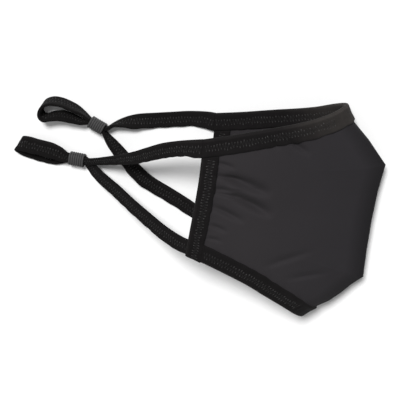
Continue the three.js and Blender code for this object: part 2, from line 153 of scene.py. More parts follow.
LEFT_STRAP = columns(
    "x y z turn tilt width",
    (10.5, 54.9, 0.95, -98, 0, 10), (6, 55.4, 0.93, -90, 0, 10), (-6, 55.2, 0.93, -87, 0, 10),
    (-18, 54, 1, -85, 0, 10), (-30, 52.8, 1.12, -85, 0, 10), (-40, 52.1, 3, -86, 24, 10),
    (-49, 51.4, 4.6, -82, 62, 9.2), (-55.5, 49.8, 4.6, -74, 86, 7.4),
    (-60, 47, 4.4, -80, 90, 5.8), (-62.25, 46.75, 4.4, -118, 90, 5.4),
    (-64, 47.71, 4.4, -118, 90, 5.4), (-69.97, 50.97, 4.4, -118, 90, 5.4),
    (-71.73, 51.92, 4.4, -118, 90, 5.4), (-76, 55.7, 4.7, -118, 90, 8.6),
    (-81.3, 59.3, 5.3, -90, 80, 10.5), (-86.6, 61.7, 5.35, -90, 76, 10.5),
    (-92, 63.4, 5.34, -90, 74, 10.5), (-97.5, 63.8, 5.34, -90, 74, 10.5),
    (-102.4, 62, 5.35, -90, 76, 10.5), (-105, 58.6, 5.3, -90, 80, 10.5),
    (-105.6, 54.8, 5.3, -90, 80, 10.5), (-103.4, 52.4, 5.35, -90, 76, 10.5),
    (-98, 53.4, 5.34, -90, 70, 10.5), (-91.5, 54.2, 5.3, -90, 66, 10.5),
    (-84.5, 52.7, 5.15, -90, 70, 10), (-77.8, 50.5, 4.7, -90, 80, 8),
    (-72.75, 50.05, 4.4, -118, 90, 5.4), (-71, 49.09, 4.4, -118, 90, 5.4),
    (-65.03, 45.83, 4.4, -118, 90, 5.4), (-63.27, 44.88, 4.4, -118, 90, 5.6),
    (-60.9, 41, 4.5, -120, 80, 7.8), (-57.5, 36.6, 4.55, -124, 64, 9),
    (-53.8, 32, 4.45, -132, 54, 9.4), (-49.3, 26.6, 4.35, -135, 50, 9.6),
    (-44.7, 21.3, 4.15, -136, 44, 9.8), (-41, 16.6, 3.5, -134, 32, 10),
    (-37.2, 12.4, 2.2, -129, 14, 10), (-32, 8.4, 1.3, -122, 2, 10), (-20, 1.6, 1, -119, 0, 10),
    (-8, -5.6, 0.93, -116, 0, 10), (-0.8, -10.2, 0.95, -104, 0, 10),
)

SLIDER_LENGTH = 10.4
SLIDER_WIDTH = 9.0
SLIDER_HEIGHT = 8.0
SLOT_WIDTH = 6.5
SLOT_HEIGHT = 5.0
RIBS = 7
SLIDERS = columns("heading roll", (172, 0), (151.4, 90))  # right, left

# Finer sizes that only the finished look has
STITCH_MIDDLE = 4.8  # in from the cloth edge
SEAM_CLEAR = 17.0  # the outer stitching stops this far from the centre seam
END_EASE = 6.0  # a band's waves die out this far from its ends
TUCK = 0.6  # the chin band runs this far under the side bands
FLOOR_GAP = 0.02  # least height of anything off the floor
SEAM_GROOVE = 0.35
SEAM_GROOVE_REACH = 0.9
SEAM_QUIET = 12.0  # the cloth lies smoother than elsewhere this near the centre seam
SEAM_PAINTED_SHADE = 16.0  # painted shade darkens the cloth toward the seam over this length
PUCKER_WAVE = 7.0  # length of the ripples beside the elastic
PUCKER_FADE = 4.5  # they die out over this distance from it
SOFT_WAVES = (38, 47)  # lengths of the slow waves in the free cloth
SOFT_HEIGHT = 0.22
SOFT_FADE = 8.0
PRESS, PRESS_REACH = 0.16, 2.3  # the stitching presses the elastic in
DRAW, DRAW_WAVE, DRAW_REACH = 0.09, 3.1, 4.2  # and draws it up in small waves
RIM, RIM_INSET, RIM_REACH = 0.14, 1.1, 0.9  # raised edge of a band
WANDER, WANDER_WAVE = 0.22, 9  # a band's free edge isn't quite straight
CRUMPLE, CRUMPLE_FOLDS, CRUMPLE_SHARE = 0.9, 5, 0.6  # lengthwise folds of a narrowed strap
TAIL_START = 4  # from this row of its table on, a strap is no longer part of the binding
JOIN = 15.0  # the binding turns into the ear strap over this length
SLIDER_POINTS = 64  # round one section of a slider
SLOT_FLARE = 0.5  # the slot opens this much at both ends
FLOOR_HALF = 6.0  # metres


# ---------------------------------------------------------------- the lying body
def straight(table, key, at, column):
    keys, values = table[key], table[column]
    i = np.clip(np.searchsorted(keys, at) - 1, 0, len(keys) - 2)
    return values[i] + (values[i + 1] - values[i]) * (at - keys[i]) / (keys[i + 1] - keys[i])


def smooth(table, key, at, column):
    """Value of a column on the rounded line through the table's rows, straight past its ends."""
    keys, values = table[key], table[column]
    rows = np.arange(len(keys))
    before = np.maximum(rows - 1, 0)
    after = np.minimum(rows + 1, len(keys) - 1)
    slopes = (values[after] - values[before]) / (keys[after] - keys[before])
    i = np.clip(np.searchsorted(keys, at) - 1, 0, len(keys) - 2)
    run = keys[i + 1] - keys[i]
    k = (at - keys[i]) / run
    rise = (values[i + 1] - values[i]) / run
    start = slopes[i] - rise
    end = rise - slopes[i + 1]
    inside = values[i] + run * k * (rise + (1 - k) * (start * (1 - k) + end * k))
    low = values[i] + k * run * slopes[i]
    high = values[i + 1] + (k - 1) * run * slopes[i + 1]
    return np.where(k < 0, low, np.where(k > 1, high, inside))


def outline(d, t):
    """Side outline of one half; d runs from the seam to the side edge, t from chin to nose."""
    def mix(column):
        seam = straight(SEAM, "t", t, column)
        side = smooth(SIDE_EDGE, "t", t, column)
        low = smooth(CHIN_EDGE, "d", d, column)
        high = smooth(NOSE_EDGE, "d", d, column)
        low_line = SEAM[column][0] * (1 - d) + SIDE_EDGE[column][0] * d
        high_line = NOSE_EDGE[column][0] * (1 - d) + SIDE_EDGE[column][-1] * d
        return (1 - d) * seam + d * side + (1 - t) * (low - low_line) + t * (high - high_line)
    return mix("x"), mix("y")


def mid_height(x):
    return MID_REAR - MID_FALL * (x - 5)


def half_width(u, t):
    half = smooth(SECTION, "t", t, "half")
    blunt = straight(SECTION, "t", t, "blunt")
    full = 1 + BULGE * t * np.sin(np.pi * np.minimum(u * u, 1))
    return half * full * np.sin(np.pi / 2 * u ** (2 * blunt))


def settle(z):
    """Height of a surface pressed down on the floor: flat below it, rolling off it above."""
    above = z - FOLD
    rolling = FOLD + (above + SOFTEN) ** 2 / (4 * SOFTEN)
    return np.where(above > SOFTEN, z, np.where(above < -SOFTEN, FOLD, rolling))


def gather_depth(x, y, folds=GATHERS):
    total = 0
    for x1, y1, x2, y2, depth, reach in zip(*folds.values()):
        dx, dy = x2 - x1, y2 - y1
        length = math.hypot(dx, dy)
        k = ((x - x1) * dx + (y - y1) * dy) / length ** 2
        off = ((x - x1) * dy - (y - y1) * dx) / length / reach
        off = off * np.where(off > 0, STEEP, 1)
        along = np.sin(np.pi * np.clip(k, 0, 1) ** 0.9) ** 1.2
        total = total + depth * along * np.exp(-off * off)
    return total


def outer(u, t):
    """Outer face of the cloth; u is -1 at the far side edge, 0 at the seam, 1 at the near one."""
    x, y = outline(u * u, t)
    spread = half_width(np.abs(u), t)
    near = mid_height(x) + spread - gather_depth(x, y)
    far = settle(mid_height(x) - FAR_SPREAD * spread)
    return np.stack([x, y + np.where(u < 0, FAR_SHIFT * u ** 4, 0), np.where(u < 0, far, near)], -1)


def unit(v):
    return v / np.maximum(np.linalg.norm(v, axis=-1, keepdims=True), 1e-12)


def cloth(u, t, height):
    """Points at a height above (+) or below (-) the outer face of the cloth."""
    e = 0.0008
    u, t, height = np.broadcast_arrays(u, t, height)
    along = outer(u + e, t) - outer(u - e, t)
    up = outer(u, t + e) - outer(u, t - e)
    return outer(u, t) + unit(np.cross(up, along)) * height[..., None]


def per_millimetre(d, t, of):
    """Share of t (or of d) that makes one millimetre square to the edge."""
    e = 0.001
    x0, y0 = outline(d - e, t)
    x1, y1 = outline(d + e, t)
    x2, y2 = outline(d, t - e)
    x3, y3 = outline(d, t + e)
    area = np.abs((x1 - x0) * (y3 - y2) - (y1 - y0) * (x3 - x2)) / (2 * e)
    edge = np.hypot(x1 - x0, y1 - y0) if of == "t" else np.hypot(x3 - x2, y3 - y2)
    return edge / area


def ripple(at, seed, wave):
    """Soft irregular waves of about unit height along a length."""
    r = np.random.default_rng(seed)
    total = 0
    for k in range(5):
        total = total + np.sin(at * 2 * np.pi / (wave * r.uniform(0.6, 1.7)) + r.uniform(0, 6.3))
    return total / 3


# ---------------------------------------------------------------- meshes
def swept(rings, looped=False):
    """Quads of a closed body from rings of points (rings x points x 3)."""
    rows, count = rings.shape[:2]
    i = np.arange(rows if looped else rows - 1)[:, None]
    j = np.arange(count)[None, :]
    a, b = i * count, (i + 1) % rows * count
    k = (j + 1) % count
    faces = np.stack([a + j, a + k, b + k, b + j], -1).reshape(-1, 4)
    if looped:
        return faces
    j = np.arange(count // 2 - 1)
    end = (rows - 1) * count
    first = np.stack([j, count - 1 - j, count - 2 - j, j + 1], -1)
    last = np.stack([end + j, end + j + 1, end + count - 2 - j, end + count - 1 - j], -1)
    return np.concatenate([faces, first, last])


def cap_count(rings):
    return 2 * (rings.shape[1] // 2 - 1)


def volume(points, faces):
    a, b, c, d = (points[faces[:, i]] for i in range(4))
    return (np.cross(a, b) * c).sum() + (np.cross(a, c) * d).sum()


def new_piece(name, points, faces, weave, material, caps=0):
    """A piece from points in mm, quads and the weave map, in mm along and across the cloth.

    The last faces, as many as caps, are cut ends and stay flat.
    """
    points = points.reshape(-1, 3).copy()
    points[:, 2] = np.maximum(points[:, 2], FLOOR_GAP)
    if volume(points, faces) < 0:
        faces = faces[:, ::-1]
    mesh = bpy.data.meshes.new(name)
    mesh.from_pydata(((points + [CENTRE, 0, 0]) * MM).tolist(), [], faces.tolist())
    loops = np.zeros(len(mesh.loops), np.int32)
    mesh.loops.foreach_get("vertex_index", loops)
    layer = mesh.uv_layers.new(name="weave")
    layer.uv.foreach_set("vector", weave.reshape(-1, 2)[loops].astype(np.float32).ravel())
    mesh.polygons.foreach_set("use_smooth", np.arange(len(faces)) < len(faces) - caps)
    mesh.materials.append(material)
    mesh.validate()
    mesh.update()
    piece = bpy.data.objects.new(name, mesh)
    bpy.context.scene.collection.objects.link(piece)
    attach(piece, BODY)
    return piece


def length_along(points):
    """Running length along the last but one axis of points."""
    steps = np.linalg.norm(np.diff(points, axis=-2), axis=-1)
    zero = np.zeros(steps.shape[:-1] + (1,))
    return np.concatenate([zero, np.cumsum(steps, -1)], -1)


# ---------------------------------------------------------------- cloth panels
def panel_relief(u, t, arc, side, sizes):
    """Small height changes of the panel: seam groove, puckers along the elastic, soft waves."""
    x, y = outline(u * u, t)
    groove = -SEAM_GROOVE * np.exp(-((arc / SEAM_GROOVE_REACH) ** 2))
    to_nose = (1 - t) / per_millimetre(u * u, 1, "t") - TOP_BAND
    to_chin = t / per_millimetre(u * u, 0, "t") - BOTTOM_BAND
    to_side = (1 - u * u) / per_millimetre(1, t, "d") - SIDE_BAND
    pucker = 0
    for away, at, seed in ((to_nose, x, 3), (to_chin, x, 4), (to_side, y, 5)):
        fade = np.exp(-np.maximum(away, 0) / PUCKER_FADE)
        pucker = pucker + fade * ripple(at, seed + side, PUCKER_WAVE)
    free = np.clip(np.minimum(np.minimum(to_nose, to_chin), to_side) / SOFT_FADE, 0, 1)
    one, two = SOFT_WAVES
    soft = ripple(x + 0.35 * y, 11 + side, one) * ripple(y - 0.2 * x, 17 + side, two)
    quiet = np.clip(arc / SEAM_QUIET, 0, 1)
    return groove + sizes.pucker / MM * pucker * quiet + SOFT_HEIGHT * soft * free * quiet


def panel_rings(side, sizes, columns_count, rows_count):
    rows = np.unique(np.concatenate([np.linspace(0, 1, rows_count), SEAM["t"]]))
    u = side * np.linspace(0, 1, columns_count)[:, None]
    u = np.where(side * u > 0, u, side * 1e-9)
    t = rows[None, :]
    plain = cloth(u, t, 0.0)
    arc = length_along(plain.transpose(1, 0, 2)).T
    relief = panel_relief(u, t, arc, side, sizes)
    skin = cloth(u, t, relief)
    lining = cloth(u, t, relief - CLOTH)
    for face in (skin, lining):
        seam = mid_height(face[..., 0]) + side * 0.02
        kept_side = np.maximum if side > 0 else np.minimum
        face[..., 2] = kept_side(face[..., 2], seam)
    rings = np.concatenate([skin, lining[:, ::-1]], 1)
    grain = np.stack(np.broadcast_arrays(arc, length_along(plain)), -1)
    return rings, np.concatenate([grain, grain[:, ::-1] + [0.31, 0.17]], 1)


# ---------------------------------------------------------------- folded elastic
def folded_section(width, thick, slot, fold):
    """Folded band in section: w in from the cloth edge, h off its middle, and how bare it lies."""
    leg = thick - slot
    flat = np.linspace(width - 0.9, 0.5, 15)
    turn = np.radians(np.linspace(75, -75, 11))
    edge_w = [width + 0.16, width + 0.06, width - 0.25]
    edge_h = [slot + 0.5 * leg, slot + 0.85 * leg, thick]
    top_w, top_h = np.concatenate([edge_w, flat]), np.concatenate([edge_h, flat * 0 + thick])
    skin_w = np.concatenate([top_w, -fold * np.cos(turn), top_w[::-1]])
    skin_h = np.concatenate([top_h, thick * np.sin(turn), -top_h[::-1]])
    near = max(fold - 0.75 * leg, 0.15)
    in_w = np.concatenate([[width + 0.12, width, width - 0.25], flat])
    in_h = np.concatenate([[slot + 0.3 * leg, slot + 0.05 * leg, slot], flat * 0 + slot])
    lining_w = np.concatenate([in_w, -near * np.cos(turn), in_w[::-1]])
    lining_h = np.concatenate([in_h, slot * np.sin(turn), -in_h[::-1]])
    w = np.concatenate([skin_w, lining_w[::-1]])
    h = np.concatenate([skin_h, lining_h[::-1]])
    bare = np.concatenate([np.sign(skin_h) * (np.abs(skin_h) > 0.9 * thick), lining_h * 0])
    return w, h, bare


class Band:
    """A folded elastic band whose points are asked for by along, w and h, all in mm."""

    def __init__(self, place, start, stop, width, thick, slot, fold, seed):
        self.place, self.width, self.seed = place, width, seed
        self.thick, self.slot, self.fold = thick, slot, fold
        self.keys = np.linspace(start, stop, 700)
        self.run = length_along(place(self.keys, width / 2, thick))
        self.length = self.run[-1]

    def at(self, along, w, h):
        return self.place(np.interp(along, self.run, self.keys), w, h)

    def eased(self, along, wave, seed):
        """Soft waves along the band that die out at both of its ends."""
        ends = np.clip(np.minimum(along, self.length - along) / END_EASE, 0, 1)
        return ends * ripple(along, seed, wave)

    def relief(self, along, w):
        """Height of the face: pressed in by its stitching and rippled where it draws in."""
        press = -PRESS * np.exp(-(((w - STITCH_MIDDLE) / PRESS_REACH) ** 4))
        draw = DRAW * self.eased(along, DRAW_WAVE, self.seed)
        draw = draw * np.exp(-(((w - STITCH_MIDDLE) / DRAW_REACH) ** 2))
        rim = RIM * np.exp(-(((w - self.width + RIM_INSET) / RIM_REACH) ** 2))
        return press + draw + rim

    def top(self, along, w):
        return self.thick + self.relief(along, w)

    def rings(self, step):
        along = np.linspace(0, self.length, int(self.length / step) + 1)[:, None]
        w, h, bare = folded_section(self.width, self.thick, self.slot, self.fold)
        wander = WANDER * self.eased(along, WANDER_WAVE, self.seed + 50)
        wander = wander * (w > self.width - 0.5)
        lift = self.relief(along, w) * bare
        points = self.at(along, w + wander, h + lift)
        across = np.where(h >= 0, w, -w - 2)
        return points, np.stack(np.broadcast_arrays(along, across), -1)


def nose_place(u, w, h):
    """On the elastic of the nose edge, h is off the middle of the cloth."""
    u, w, h = np.broadcast_arrays(u, w, h)
    t = 1 - w * per_millimetre(u * u, 1, "t")
    reach = 1 + FOLD * per_millimetre(1, t, "d")
    return cloth(u * np.sqrt(reach), t, h - CLOTH / 2)


def chin_place(u, w, h):
    u, w, h = np.broadcast_arrays(u, w, h)
    t = w * per_millimetre(u * u, 0, "t")
    reach = 1 - (SIDE_BAND - TUCK) * per_millimetre(1, t, "d")
    return cloth(u * np.sqrt(reach), t, h - CLOTH / 2)


def side_place(side):
    def place(k, w, h):
        k, w, h = np.broadcast_arrays(k, w, h)
        d = 1 - w * per_millimetre(1, k * 0.86, "d")
        low = -FOLD * per_millimetre(d, 0, "t")
        high = 1 - (TOP_BAND + GAP) * per_millimetre(d, 1, "t")
        return cloth(side * np.sqrt(d), low + (high - low) * k, h - CLOTH / 2)
    return place


def binding(place, start, stop, width, seed):
    return Band(place, start, stop, width, CLOTH / 2 + FOLD, CLOTH / 2 + 0.03, FOLD, seed)


NOSE_BAND = binding(nose_place, -1, 1, TOP_BAND, 1)
CHIN_BAND = binding(chin_place, -1, 1, BOTTOM_BAND, 2)
RIGHT_SIDE_BAND = binding(side_place(1), 0, 1, SIDE_BAND, 3)
LEFT_SIDE_BAND = binding(side_place(-1), 0, 1, SIDE_BAND, 4)


def route(rows, at):
    """Points and directions of the rounded line through the rows, at row numbers with parts."""
    points = np.stack([rows["x"], rows["y"], rows["z"]], 1)
    whole = np.concatenate([[2 * points[0] - points[1]], points, [2 * points[-1] - points[-2]]])
    i = np.clip(np.floor(at).astype(int), 0, len(points) - 2)
    k = (at - i)[..., None]
    p0, p1, p2, p3 = (whole[i + n] for n in range(4))
    d0, d1, d2 = (np.sqrt(np.linalg.norm(b - a, axis=-1, keepdims=True))
                  for a, b in ((p0, p1), (p1, p2), (p2, p3)))
    m1 = ((p1 - p0) / d0 - (p2 - p0) / (d0 + d1) + (p2 - p1) / d1) * d1
    m2 = ((p2 - p1) / d1 - (p3 - p1) / (d1 + d2) + (p3 - p2) / d2) * d1
    c2 = -3 * p1 + 3 * p2 - 2 * m1 - m2
    c3 = 2 * p1 - 2 * p2 + m1 + m2
    return p1 + k * (m1 + k * (c2 + k * c3)), unit(m1 + k * (2 * c2 + 3 * k * c3))


def strap_place(rows, joined, outward):
    """Points on an ear strap, which starts as the end of the nose band and becomes flat."""
    places = np.arange(len(rows["x"]))
    start = joined.keys[-1 if outward > 0 else 0]
    first = route(rows, np.zeros(1))[0][0]

    def place(at, w, h):
        at, w, h = np.broadcast_arrays(at, w, h)
        centre, tangent = route(rows, at)
        turn = np.radians(np.interp(at, places, rows["turn"]))
        tilt = np.radians(np.interp(at, places, rows["tilt"]))
        wide = np.interp(at, places, rows["width"])
        flat = np.cos(tilt)
        across = np.stack([flat * np.cos(turn), flat * np.sin(turn), np.sin(tilt)], -1)
        face = outward * unit(np.cross(tangent, across))
        share = (w + STRAP / 2) / (STRAP_WIDTH + STRAP / 2) - 0.5
        narrow = np.clip(1 - wide / STRAP_WIDTH, 0, 1)
        crumple = CRUMPLE * narrow * np.cos(CRUMPLE_FOLDS * np.pi * share)
        level = h + crumple * CRUMPLE_SHARE
        own = centre + across * (share * wide)[..., None] + face * level[..., None]
        gone = np.linalg.norm(centre - first, axis=-1) + JOIN * (at > TAIL_START)
        k = np.clip(gone / JOIN, 0, 1)
        k = (k * k * (3 - 2 * k))[..., None]
        bound_w = np.where(w < 0, w * FOLD / (STRAP / 2), w * TOP_BAND / STRAP_WIDTH)
        bound_h = h + (joined.thick - STRAP / 2) * np.tanh(4 * h)
        bound = joined.place(start, bound_w, bound_h) + centre - first
        return bound * (1 - k) + own * k
    return place


def ear_strap(rows, outward, seed, tucked):
    """A strap whose chin end is tucked into the side band's fold."""
    rows = {name: np.append(column, end) for (name, column), end in zip(rows.items(), tucked)}
    place = strap_place(rows, NOSE_BAND, outward)
    last = len(rows["x"]) - 1
    return Band(place, 0, last, STRAP_WIDTH, STRAP / 2, 0.03, STRAP / 2, seed)


RIGHT_BAND = ear_strap(RIGHT_STRAP, 1, 5, (3.4, -17.7, 45.2, -101, 0, 10))
LEFT_BAND = ear_strap(LEFT_STRAP, -1, 6, (2.9, -12.1, 1.4, -104, 0, 10))


# ---------------------------------------------------------------- stitching
STITCH_STEPS = 9
THREAD_SIDES = 5


def tubes(lines, radius, sides=THREAD_SIDES):
    """Closed thin tubes along many short lines (lines x points x 3), tapered at both ends."""
    count, steps = lines.shape[:2]
    tangent = unit(np.gradient(lines, axis=1))
    seed = np.where(np.abs(tangent[..., 2:]) > 0.9, [1.0, 0, 0], [0, 0, 1.0])
    one = unit(np.cross(tangent, seed))
    two = np.cross(tangent, one)
    angle = 2 * np.pi * np.arange(sides) / sides
    taper = np.ones(steps)
    taper[[0, -1]] = 0.45
    circle = one[:, :, None] * np.cos(angle)[:, None] + two[:, :, None] * np.sin(angle)[:, None]
    points = lines[:, :, None] + circle * (radius * taper)[:, None, None]
    n = np.arange(count)[:, None, None] * steps * sides
    i = np.arange(steps - 1)[None, :, None] * sides
    j = np.arange(sides)[None, None, :]
    k = (j + 1) % sides
    corners = (n + i + j, n + i + k, n + i + sides + k, n + i + sides + j)
    walls = np.stack(np.broadcast_arrays(*corners), -1)
    return points.reshape(-1, 3), walls.reshape(-1, 4)


def zigzag(band, face, sizes, clear):
    """Legs of a zigzag on the outer (1) or inner (-1) face, left out near the centre seam."""
    pitch = sizes.stitch_pitch / MM
    half = sizes.stitch_width / MM / 2
    count = int((band.length - 1.6) / pitch * 2)
    chance = np.random.default_rng(band.seed + 20)
    at = 0.8 + np.arange(count + 1) * pitch / 2 + chance.uniform(-0.18, 0.18, count + 1)
    w = STITCH_MIDDLE + half * np.where(np.arange(count + 1) % 2, 1, -1)
    w = w + chance.uniform(-0.55, 0.55, count + 1)
    middle = np.interp(0, band.keys, band.run)
    kept = np.abs((at[:-1] + at[1:]) / 2 - middle) > (clear if face > 0 else 0)
    k = np.linspace(0.02, 0.98, STITCH_STEPS)
    along = (at[:-1, None] * (1 - k) + at[1:, None] * k)[kept]
    across = (w[:-1, None] * (1 - k) + w[1:, None] * k)[kept]
    dip = 0.02 + 0.1 * np.abs(2 * k - 1) ** 2 - 0.3 * np.abs(2 * k - 1) ** 12
    lines = band.at(along, across, face * (band.top(along, across) + dip))
    lines[..., 2] = np.maximum(lines[..., 2], sizes.thread / MM / 2 + FLOOR_GAP)
    return lines


# ---------------------------------------------------------------- materials
def tree_of(name, colour, roughness, specular, sheen, sheen_roughness=0.5):
    """A material with its shader set, and helpers to add and join nodes."""
    material = bpy.data.materials.new(name)
    material.use_nodes = True
    tree = material.node_tree
    shader = tree.nodes["Principled BSDF"]
    shader.inputs["Base Color"].default_value = (*colour, 1)
    shader.inputs["Roughness"].default_value = roughness
    shader.inputs["Specular IOR Level"].default_value = specular
    shader.inputs["Sheen Weight"].default_value = sheen
    shader.inputs["Sheen Roughness"].default_value = sheen_roughness
    return material, tree, shader


def node(tree, kind, links=(), **values):
    """A new node. values set its sockets by name, or its own settings where it has them."""
    made = tree.nodes.new("ShaderNode" + kind)
    for key, value in values.items():
        if hasattr(made, key):
            setattr(made, key, value)
        else:
            made.inputs[key.replace("_", " ")].default_value = value
    for socket, source in dict(links).items():
        tree.links.new(source, made.inputs[socket])
    return made


def ramp(tree, source, low, high, colours):
    made = node(tree, "ValToRGB", {"Fac": source})
    for stop, place, colour in zip(made.color_ramp.elements, (low, high), colours):
        stop.position = place
        stop.color = (*colour, 1)
    return made.outputs["Color"]


def shade(colour, factor):
    return tuple(min(c * factor, 1) for c in colour)


def grey(level):
    return (level, level, level)


def weave_axis(tree, axis):
    """One axis of the weave map."""
    grid = node(tree, "UVMap", uv_map="weave")
    return node(tree, "SeparateXYZ", {"Vector": grid.outputs["UV"]}).outputs[axis]


def threads(tree, pitch, turn):
    """Waves across the weave map, one for each thread."""
    grid = node(tree, "UVMap", uv_map="weave")
    turned = node(tree, "Mapping", {"Vector": grid.outputs["UV"]})
    turned.inputs["Rotation"].default_value = (0, 0, math.radians(turn))
    wave = node(
        tree, "TexWave", {"Vector": turned.outputs["Vector"]},
        Scale=0.314 / (pitch / MM), Distortion=0.6, Detail=2.0, Detail_Scale=1.5,
    )
    return wave.outputs["Fac"]


def blotches(tree, scale, detail=4.0):
    place = node(tree, "TexCoord")
    return node(
        tree, "TexNoise", {"Vector": place.outputs["Object"]},
        Scale=scale, Detail=detail, Roughness=0.6,
    ).outputs["Fac"]


def blend(tree, kind, a, b, factor=1.0):
    made = node(tree, "Mix", data_type="RGBA", blend_type=kind)
    made.inputs[0].default_value = factor
    tree.links.new(a, made.inputs[6])
    tree.links.new(b, made.inputs[7])
    return made.outputs[2]


def height_sum(tree, a, b, share):
    """a plus a share of b."""
    made = node(tree, "Math", operation="MULTIPLY_ADD")
    tree.links.new(b, made.inputs[0])
    made.inputs[1].default_value = share
    tree.links.new(a, made.inputs[2])
    return made.outputs[0]


def finish(tree, shader, colour, height, depth, strength, rough=None):
    tree.links.new(colour, shader.inputs["Base Color"])
    bump = node(tree, "Bump", {"Height": height}, Strength=strength, Distance=depth)
    tree.links.new(bump.outputs["Normal"], shader.inputs["Normal"])
    if rough is not None:
        tree.links.new(rough, shader.inputs["Roughness"])


def rough_from(tree, source, low, high):
    made = node(tree, "MapRange", {"Value": source})
    made.inputs["To Min"].default_value = low
    made.inputs["To Max"].default_value = high
    return made.outputs["Result"]


def toward(tree, x, y, low, high, colours):
    """Colour that changes along a direction across the mask, in metres."""
    place = node(tree, "TexCoord")
    way = node(tree, "VectorMath", {0: place.outputs["Object"]}, operation="DOT_PRODUCT")
    way.inputs[1].default_value = (x, y, 0)
    share = node(tree, "MapRange", {"Value": way.outputs["Value"]}, interpolation_type="SMOOTHSTEP")
    share.inputs["From Min"].default_value = low
    share.inputs["From Max"].default_value = high
    return ramp(tree, share.outputs["Result"], 0, 1, colours)


def panel_cloth(name, colour, nose_shade, pitch):
    """Fine smooth knit: two thread directions, faint slubs, with painted shade toward the nose and
    along the centre seam.
    """
    material, tree, shader = tree_of(name, colour, 0.85, 0.1, 0.03)
    warp = threads(tree, pitch, 0)
    weft = threads(tree, pitch, 90)
    knit = height_sum(tree, warp, weft, 1.0)
    fuzz = blotches(tree, 900)
    height = height_sum(tree, knit, fuzz, 0.5)
    tone = ramp(tree, blotches(tree, 22), 0.3, 0.7, (grey(0.93), grey(1)))
    thread = ramp(tree, knit, 0.2, 1.6, (grey(0.88), grey(1)))
    # painted shade: the cloth colour turns to the darker nose shade toward the nose
    dye_and_painted_light = toward(tree, 1, 0, 0.03, 0.12, (colour, nose_shade))
    # painted shade: the cloth colour is darkened toward the centre seam, down to 0.45 at the seam
    share = node(tree, "Math", {0: weave_axis(tree, "X")}, operation="DIVIDE")
    share.inputs[1].default_value = SEAM_PAINTED_SHADE
    seam = ramp(tree, share.outputs[0], 0.04, 1.0, (grey(0.45), grey(1)))
    colours = blend(tree, "MULTIPLY", blend(tree, "MULTIPLY", dye_and_painted_light, tone), seam)
    colours = blend(tree, "MULTIPLY", colours, thread)
    finish(tree, shader, colours, height, 0.00004, 0.35, rough_from(tree, fuzz, 0.78, 0.92))
    return material


def folded_elastic(name, colours, way, pitch):
    """Braided elastic: fine ribs, cross threads, worn edges, and a colour that changes along a way;
    on the bindings this is a painted highlight toward the nose.
    """
    material, tree, shader = tree_of(name, colours[0], 0.88, 0.08, 0.02)
    ribs = threads(tree, pitch, 90)
    cross = threads(tree, pitch * 0.8, 0)
    height = height_sum(tree, ribs, cross, 0.6)
    edge = node(tree, "Math", {0: weave_axis(tree, "Y")}, operation="ABSOLUTE")
    worn = ramp(tree, edge.outputs[0], 0.3, 1.0, (grey(1), grey(0.7)))
    tone = ramp(tree, blotches(tree, 160), 0.35, 0.65, (grey(0.82), grey(1)))
    thread = ramp(tree, height, 0.1, 1.2, (grey(0.72), grey(1)))
    # on the bindings this blends to a painted highlight toward the nose; on the straps it blends to
    # the binding's dye
    dye_and_painted_light = toward(tree, *way, colours)
    colours = blend(tree, "MULTIPLY", blend(tree, "MULTIPLY", dye_and_painted_light, worn), tone)
    colours = blend(tree, "MULTIPLY", colours, thread)
    finish(tree, shader, colours, height, 0.00008, 0.5, rough_from(tree, ribs, 0.8, 0.95))
    return material


def sewing_thread(name, colour):
    """Twisted thread, with painted shade in the middle of each leg, where it lies in the elastic,
    and a painted highlight at its ends by the needle holes.
    """
    material, tree, shader = tree_of(name, colour, 0.7, 0.15, 0.03)
    twist = threads(tree, 0.0004, 55)
    # painted shade in the middle of each leg, painted highlight at its two ends
    leg = ramp(tree, weave_axis(tree, "Y"), 0.35, 0.8, (grey(0.3), grey(1)))
    tone = ramp(tree, blotches(tree, 1300, 1.0), 0.4, 0.6, (shade(colour, 0.22), colour))
    finish(tree, shader, blend(tree, "MULTIPLY", tone, leg), twist, 0.00003, 0.5)
    return material


def moulded_rubber(name, colour):
    """Matt rubber with a fine grain, painted shade in its grooves and slots and a painted highlight
    on its ribs.
    """
    material, tree, shader = tree_of(name, colour, 0.65, 0.2, 0.02)
    grain = blotches(tree, 1800, 6.0)
    # painted shade in the grooves and slots, painted highlight on the crests of the ribs
    ends = (shade(colour, 0.42), shade(colour, 1.12))
    crest = ramp(tree, weave_axis(tree, "Y"), 0.15, 0.85, ends)
    tone = ramp(tree, blotches(tree, 300), 0.3, 0.7, (grey(0.88), grey(1)))
    finish(
        tree, shader, blend(tree, "MULTIPLY", crest, tone), grain, 0.00004, 0.4,
        rough_from(tree, grain, 0.5, 0.72),
    )
    return material


def studio_floor(name, colour):
    material, tree, shader = tree_of(name, colour, 0.9, 0.1, 0.0)
    tone = ramp(tree, blotches(tree, 3), 0.3, 0.7, (shade(colour, 0.995), colour))
    finish(tree, shader, tone, blotches(tree, 400), 0.00002, 0.1)
    return material


# ---------------------------------------------------------------- settings
def size_property(name, description, default):
    return bpy.props.FloatProperty(
        name=name, description=description, default=default, min=0, precision=5, unit="LENGTH",
    )


def colour_property(name, description, default):
    return bpy.props.FloatVectorProperty(
        name=name, description=description, default=default, min=0, max=1, subtype="COLOR",
    )


class MaskSizes(bpy.types.PropertyGroup):
    pucker: size_property("Pucker", "Height of the cloth's ripples beside the elastic", 0.00026)
    weave: size_property("Weave", "Pitch of the panel cloth's threads", 0.0005)
    rib: size_property("Rib", "Pitch of the elastic's ribs", 0.0007)
    stitch_pitch: size_property("Stitch pitch", "Length of one full zigzag", 0.0019)
    stitch_width: size_property("Stitch width", "Width of the zigzag", 0.0045)
    thread: size_property("Thread", "Thickness of the sewing thread", 0.00027)
    rib_depth: size_property("Slider ribs", "Depth of the grooves round a slider", 0.00055)


